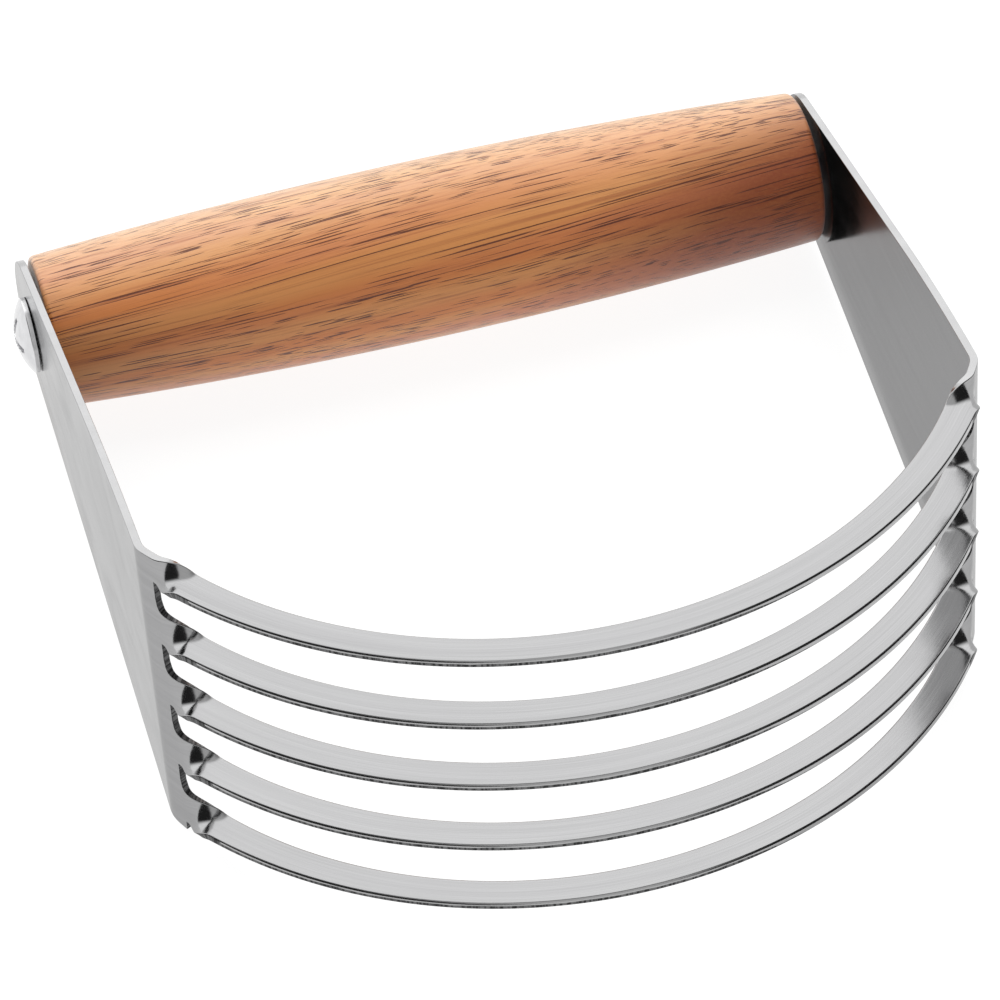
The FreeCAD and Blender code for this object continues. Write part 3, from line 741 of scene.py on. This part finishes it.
def lathe(name, profile, segments, radius_at=None):
    """A mesh turned about Z from (radius, z) points. radius_at may change a radius with the angle round."""
    mesh = bmesh.new()
    rings = []
    for radius, height in profile:
        if radius == 0.0:
            rings.append([mesh.verts.new((0, 0, height * MM))])
            continue
        ring = []
        for step in range(segments):
            angle = 2 * math.pi * step / segments
            here = radius if radius_at is None else radius_at(radius, height, angle)
            across, up = here * math.cos(angle), here * math.sin(angle)
            ring.append(mesh.verts.new((across * MM, up * MM, height * MM)))
        rings.append(ring)
    for near, far in zip(rings, rings[1:]):
        for step in range(segments):
            after = (step + 1) % segments
            corners = (near[step % len(near)], near[after % len(near)],
                       far[after % len(far)], far[step % len(far)])
            # A face that touches the pole has the same corner twice.
            mesh.faces.new(list(dict.fromkeys(corners)))
    bmesh.ops.recalc_face_normals(mesh, faces=mesh.faces)
    data = bpy.data.meshes.new(name)
    mesh.to_mesh(data)
    mesh.free()
    return data


HANDLE_SEGMENTS = 160
HANDLE_STEPS = 60
EDGE_STEPS = 6


def make_handle():
    """The barrel-shaped handle with rounded ends and a pilot hole in each end."""
    rise = HANDLE_MIDDLE_RADIUS - HANDLE_END_RADIUS
    barrel = (HANDLE_HALF_LENGTH ** 2 + rise ** 2) / (2 * rise)

    def barrel_radius(place):
        return HANDLE_MIDDLE_RADIUS - barrel + math.sqrt(barrel ** 2 - place ** 2)

    half = [(0.0, HANDLE_HALF_LENGTH - PILOT_DEPTH),
            (PILOT_RADIUS, HANDLE_HALF_LENGTH - PILOT_DEPTH),
            (PILOT_RADIUS, HANDLE_HALF_LENGTH)]
    shoulder = HANDLE_HALF_LENGTH - HANDLE_EDGE_RADIUS
    edge_centre = barrel_radius(shoulder) - HANDLE_EDGE_RADIUS
    for angle in spread(90.0, 0.0, EDGE_STEPS):
        turn = math.radians(angle)
        half.append((edge_centre + HANDLE_EDGE_RADIUS * math.cos(turn),
                     shoulder + HANDLE_EDGE_RADIUS * math.sin(turn)))
    middle = [(barrel_radius(place), place) for place in spread(shoulder, -shoulder, HANDLE_STEPS)[1:-1]]
    profile = half + middle + [(radius, -place) for radius, place in reversed(half)]
    data = lathe("handle_barrel", profile, HANDLE_SEGMENTS)
    data.transform(Matrix.Rotation(math.radians(90), 4, "Y"))
    return new_piece("handle_barrel", data, Matrix.Translation(AXIS_PLACE), (turned_wood(),))


SCREW_SEGMENTS = 72
DOME_STEPS = 14
THREAD_STEPS_PER_TURN = 12


def screw_profile():
    """The screw from its dome down to its point, with the underside of its head at Z = 0."""
    rise = SCREW_HEAD_HEIGHT - SCREW_RIM_HEIGHT
    dome = (SCREW_HEAD_RADIUS ** 2 + rise ** 2) / (2 * rise)
    points = []
    for radius in spread(0.0, SCREW_HEAD_RADIUS, DOME_STEPS):
        points.append((radius, SCREW_HEAD_HEIGHT - dome + math.sqrt(dome ** 2 - radius ** 2)))
    points += [
        (SCREW_HEAD_RADIUS, 0.0),
        (SCREW_NECK_RADIUS, 0.0),
        (SCREW_NECK_RADIUS, -SCREW_NECK_LENGTH),
        (SCREW_CORE_RADIUS, -SCREW_NECK_LENGTH - SCREW_NECK_RADIUS + SCREW_CORE_RADIUS),
    ]
    steps = int((THREAD_END - THREAD_START) / THREAD_PITCH * THREAD_STEPS_PER_TURN)
    points += [(SCREW_CORE_RADIUS, -place) for place in spread(THREAD_START, THREAD_END, steps)]
    points += [(SCREW_CORE_RADIUS, -SCREW_LENGTH + SCREW_POINT_LENGTH), (0.0, -SCREW_LENGTH)]
    return points


def thread_radius(radius, height, angle):
    """The core's radius, raised along the thread's helix and faded out at both ends."""
    depth = -height
    if not THREAD_START < depth < THREAD_END:
        return radius
    phase = (depth / THREAD_PITCH - angle / (2 * math.pi)) % 1.0
    aside = min(phase, 1.0 - phase) / THREAD_HALF_WIDTH
    fade = min((depth - THREAD_START) / THREAD_PITCH, (THREAD_END - depth) / THREAD_PITCH, 1.0)
    return radius + THREAD_CREST * max(1.0 - aside, 0.0) * fade


def recess_cutter():
    """The tapered cross that the screw's recess is cut with, reaching above the dome."""
    above = 1.0
    shrink = math.tan(math.radians(RECESS_TAPER))
    mesh = bmesh.new()
    rings = []
    for depth in (-above, RECESS_DEPTH):
        long = RECESS_LENGTH / 2 - depth * shrink
        wide = RECESS_WIDTH / 2 - max(depth, 0.0) * shrink / 2
        ring = []
        for quarter in range(4):
            turn = Matrix.Rotation(math.radians(90 * quarter), 3, "Z")
            for x, y in ((long, -wide), (long, wide), (wide, wide)):
                ring.append(mesh.verts.new(turn @ Vector((x, y, SCREW_HEAD_HEIGHT - depth)) * MM))
        rings.append(ring)
    count = len(rings[0])
    for step in range(count):
        after = (step + 1) % count
        mesh.faces.new((rings[0][step], rings[0][after], rings[1][after], rings[1][step]))
    for ring in rings:
        mesh.faces.new(ring)
    bmesh.ops.recalc_face_normals(mesh, faces=mesh.faces)
    data = bpy.data.meshes.new("recess_cutter")
    mesh.to_mesh(data)
    mesh.free()
    return data


def make_screw(name, node, side, material):
    """A domed, cross-recess tapping screw, seated where its CAD node is."""
    low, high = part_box(node)
    tip = max(abs(low.x), abs(high.x)) / MM
    seat = side * (tip - SCREW_HEAD_HEIGHT)
    data = lathe(name, screw_profile(), SCREW_SEGMENTS, thread_radius)
    pointing = Matrix.Rotation(math.radians(90 * side), 4, "Y")
    turn = Matrix.Rotation(math.radians(-REST_TILT), 4, "X") @ pointing
    data.transform(turn)
    place = Matrix.Translation(AXIS_PLACE + Vector((seat * MM, 0, 0)))
    piece = new_piece(name, data, place, (material,))
    cutter = new_piece("recess_cutter", recess_cutter(), place @ turn, ())
    cut = piece.modifiers.new("recess", "BOOLEAN")
    cut.operation = "DIFFERENCE"
    cut.object = cutter
    cut.solver = "EXACT"
    settle_modifiers(piece)
    bpy.data.objects.remove(cutter)
    bevelled(piece, SCREW_EDGE_ROUNDING, segments=2, limit="ANGLE")
    return piece


# ---------------------------------------------------------------- studio

def make_camera():
    azimuth = math.radians(CAMERA_AZIMUTH)
    elevation = math.radians(CAMERA_ELEVATION)
    back = Vector((math.sin(azimuth) * math.cos(elevation),
                   -math.cos(azimuth) * math.cos(elevation),
                   math.sin(elevation)))
    data = bpy.data.cameras.new("camera")
    data.lens = CAMERA_LENS
    camera = bpy.data.objects.new("camera", data)
    turn = back.to_track_quat("Z", "Y").to_matrix().to_4x4()
    roll = Matrix.Rotation(math.radians(-CAMERA_ROLL), 4, "Z")
    aim = Vector(CAMERA_AIM) * MM
    camera.matrix_world = Matrix.Translation(aim + back * CAMERA_DISTANCE * MM) @ turn @ roll
    bpy.context.scene.collection.objects.link(camera)
    bpy.context.scene.camera = camera


def soft_light(name, place, size, power):
    """A large soft light aimed at the tool. Polished steel mirrors the studio, not the lights."""
    data = bpy.data.lights.new(name, "AREA")
    data.shape = "RECTANGLE"
    data.size, data.size_y = size
    data.energy = power
    light = bpy.data.objects.new(name, data)
    spot = Vector(place)
    light.matrix_world = Matrix.Translation(spot) @ spot.to_track_quat("Z", "Y").to_matrix().to_4x4()
    light.visible_camera = False
    light.visible_glossy = False
    bpy.context.scene.collection.objects.link(light)


def shade_paint(name):
    """Dull black for what only reflections see."""
    shader = Shader(name)
    shader.surface.inputs["Base Color"].default_value = (0.01, 0.01, 0.01, 1)
    shader.surface.inputs["Roughness"].default_value = 1.0
    shader.surface.inputs["Specular IOR Level"].default_value = 0.0
    return shader


def show_in_reflections_only(piece):
    """Hides a piece from the camera and from soft light, and takes its shadow away."""
    piece.visible_camera = False
    piece.visible_diffuse = False
    piece.visible_shadow = False


def shade_ring():
    """A black ring round the handle's right end, so that the arm beside it mirrors dark."""
    profile = [(SHADE_RING_RADIUS, place) for place in SHADE_RING_SPAN]
    data = lathe("shade_ring", profile, HANDLE_SEGMENTS)
    data.transform(Matrix.Rotation(math.radians(90), 4, "Y"))
    shader = shade_paint("shade_black")
    # Its inside lets the wood's own reflections through.
    inside = shader.node("ShaderNodeNewGeometry").outputs["Backfacing"]
    shader.feed(shader.surface.inputs["Alpha"], shader.maths("SUBTRACT", 1.0, inside))
    ring = new_piece("shade_ring", data, Matrix.Translation(AXIS_PLACE), (shader.material,))
    show_in_reflections_only(ring)


def shade_sheet():
    """A thin grey film over the floor inside the right arm, so that the arm mirrors grey."""
    mesh = bmesh.new()
    bmesh.ops.create_grid(mesh, x_segments=1, y_segments=1, size=0.5)
    data = bpy.data.meshes.new("shade_sheet")
    mesh.to_mesh(data)
    mesh.free()
    shader = shade_paint("shade_grey")
    shader.surface.inputs["Alpha"].default_value = SHADE_SHEET_DENSITY
    low, high = (Vector((*corner, SHADE_SHEET_HEIGHT)) * MM for corner in SHADE_SHEET_CORNERS)
    size = high - low
    place = Matrix.Translation((low + high) / 2) @ Matrix.Diagonal((size.x, size.y, 1, 1))
    sheet = new_piece("shade_sheet", data, place, (shader.material,))
    show_in_reflections_only(sheet)


def make_world():
    """A studio that is bright behind the tool, grey in front and dark at the sides.

    The camera itself sees it pale.
    """
    world = bpy.data.worlds.new("studio")
    world.use_nodes = True
    tree = world.node_tree
    parts = tree.nodes.new("ShaderNodeSeparateXYZ")
    tree.links.new(tree.nodes.new("ShaderNodeTexCoord").outputs["Generated"], parts.inputs[0])

    def ramp(source, low, high, to_low, to_high):
        made = tree.nodes.new("ShaderNodeMapRange")
        made.interpolation_type = "SMOOTHSTEP"
        set_range(made, low, high, to_low, to_high)
        tree.links.new(source, made.inputs["Value"])
        return made.outputs["Result"]

    def maths(operation, *sources):
        made = tree.nodes.new("ShaderNodeMath")
        made.operation = operation
        for socket, source in zip(made.inputs, sources):
            tree.links.new(source, socket)
        return made.outputs[0]

    behind = ramp(parts.outputs["Y"], *BACK_FADE, DARKEST, BACK_BRIGHTNESS)
    ahead = ramp(parts.outputs["Y"], *SIDE_FADE, 0.0, SIDE_BRIGHTNESS)
    central = ramp(maths("ABSOLUTE", parts.outputs["X"]), *FRONT_FADE, FRONT_BRIGHTNESS, 0.0)
    path = tree.nodes.new("ShaderNodeLightPath")
    # The Mix node's plain number sockets are its inputs 2 and 3.
    seen = tree.nodes.new("ShaderNodeMix")
    seen.inputs[3].default_value = PALE_WALL
    tree.links.new(path.outputs["Is Camera Ray"], seen.inputs[0])
    tree.links.new(maths("MAXIMUM", behind, maths("MAXIMUM", ahead, central)), seen.inputs[2])
    backdrop = tree.nodes["Background"]
    tree.links.new(seen.outputs[0], backdrop.inputs["Strength"])
    backdrop.inputs["Color"].default_value = (1, 1, 1, 1)
    bpy.context.scene.world = world


def make_studio():
    mesh = bmesh.new()
    bmesh.ops.create_circle(mesh, cap_ends=True, segments=96, radius=FLOOR_RADIUS)
    data = bpy.data.meshes.new("floor")
    mesh.to_mesh(data)
    mesh.free()
    floor = new_piece("floor", data, Matrix.Identity(4), (floor_paint(),))
    make_world()
    soft_light("key_light", **KEY_LIGHT)
    soft_light("fill_light", **FILL_LIGHT)
    shade_ring()
    shade_sheet()
    bpy.context.scene.view_settings.view_transform = "Standard"


# ---------------------------------------------------------------- the whole

sheet = make_sheet()
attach(sheet, "frame")
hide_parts("blade_frame")

handle = make_handle()
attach(handle, "grip")
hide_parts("handle")

bright_steel = screw_steel()
for name, node, side in (("left_screw_head", "left_screw", -1), ("right_screw_head", "right_screw", 1)):
    screw = make_screw(name, node, side, bright_steel)
    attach(screw, "grip")
    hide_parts(node)

make_camera()
make_studio()
